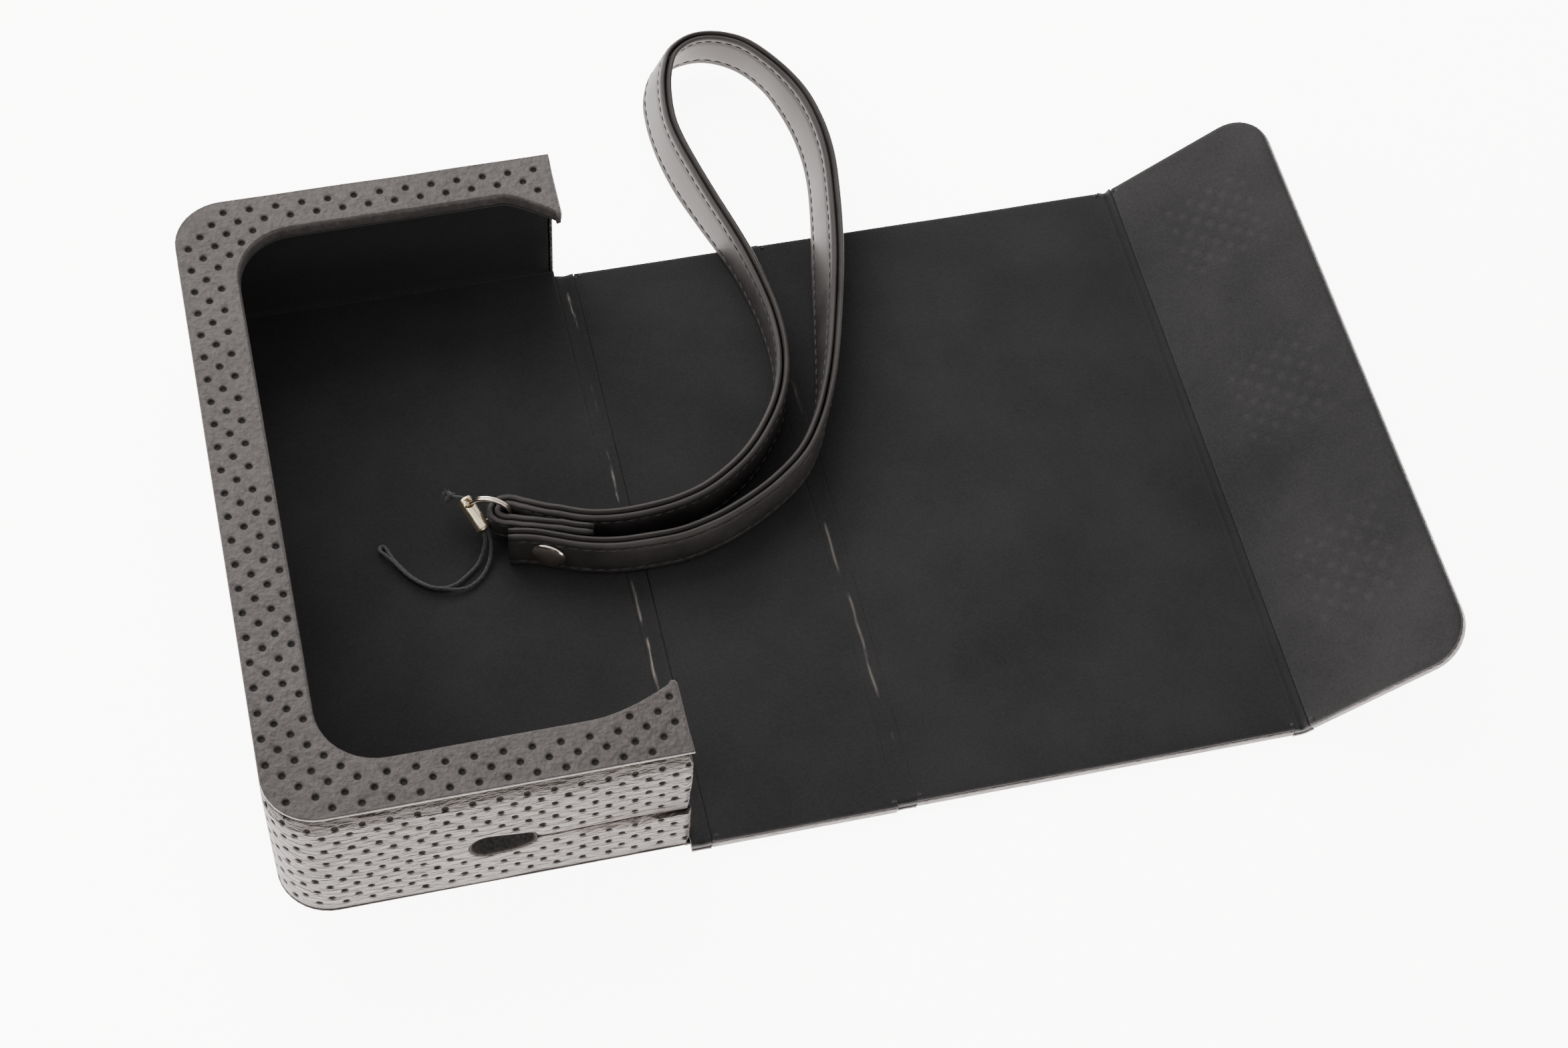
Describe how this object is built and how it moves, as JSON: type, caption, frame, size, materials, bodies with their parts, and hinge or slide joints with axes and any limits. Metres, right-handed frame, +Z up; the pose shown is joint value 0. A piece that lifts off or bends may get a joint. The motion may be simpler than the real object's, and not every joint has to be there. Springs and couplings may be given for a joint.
{
  "type": "compact camera wrap case",
  "caption": "Hinged wrap case lying open: a perforated tray with a window-frame lip, a suede-lined folding lid with a magnetic tongue, and a loose wrist strap.",
  "frame": {"origin": "centre of the tray's underside, on the surface the open case lies on", "axes": "+X from the tray along the opened lid, +Z up, the wall with the strap slot faces -Y"},
  "size_m": [0.1803, 0.1497, 0.029],
  "materials": {
    "leatherette": "perforated wrinkled leatherette, satin",
    "suede": "napped microsuede, matt",
    "board": "grey board",
    "magnet": "plated disc",
    "strap_leather": "fine-grained, satin, stitched",
    "nickel": "polished warm nickel plate",
    "cord": "braided, matt"
  },
  "bodies": {
    "tray": {"base_skin": "leatherette", "base_board": "board", "base_lining": "suede", "wall_skin": "leatherette", "wall_board_left": "board", "wall_board_front": "board", "wall_board_back": "board", "wall_lining": "suede", "lip_skin": "leatherette", "lip_board": "board", "lip_lining": "suede", "wall_magnet_1": "magnet", "wall_magnet_2": "magnet", "wall_magnet_3": "magnet", "spine_crease": "leatherette"},
    "spine": {"spine_skin": "leatherette", "spine_board": "board", "spine_lining": "suede", "cover_crease": "leatherette"},
    "cover": {"cover_skin": "leatherette", "cover_board": "board", "cover_lining": "suede", "tongue_crease": "leatherette"},
    "tongue": {"tongue_skin": "leatherette", "tongue_board": "board", "tongue_lining": "suede", "tongue_magnet_1": "magnet", "tongue_magnet_2": "magnet", "tongue_magnet_3": "magnet"},
    "strap": {"strap_outer_ply": "strap_leather", "strap_inner_ply": "strap_leather", "strap_rivet": "nickel", "strap_ring": "nickel"},
    "lanyard": {"lanyard_barrel": "nickel", "lanyard_knot": "cord", "lanyard_cord": "cord"}
  },
  "joints": [
    {"name": "spine_hinge", "type": "hinge", "parent": "tray", "child": "spine", "pos_m": [0.0315, 0, 0.001], "axis": [0, -1, 0], "range_deg": [0, 90], "deforming": ["spine_crease"]},
    {"name": "cover_hinge", "type": "hinge", "parent": "spine", "child": "cover", "pos_m": [0.063, 0, 0.001], "axis": [0, -1, 0], "range_deg": [0, 90], "deforming": ["cover_crease"]},
    {"name": "tongue_hinge", "type": "hinge", "parent": "cover", "child": "tongue", "pos_m": [0.1258, 0, 0.001], "axis": [0, -1, 0], "range_deg": [-36, 54], "deforming": ["tongue_crease"]},
    {"name": "strap_flip", "type": "hinge", "parent": "tray", "child": "strap", "pos_m": [0.045, 0.118, 0.0055], "axis": [-1, 0, 0], "range_deg": [0, 180]},
    {"name": "lanyard_swing", "type": "hinge", "parent": "strap", "child": "lanyard", "pos_m": [0.00785, 0.00555, 0.007], "axis": [0, 0, 1], "range_deg": [-40, 0]}
  ],
  "couplings": [
    {"joint": "cover_hinge", "follows": "spine_hinge", "ratio": 1},
    {"joint": "strap_flip", "follows": "spine_hinge", "ratio": 2}
  ]
}
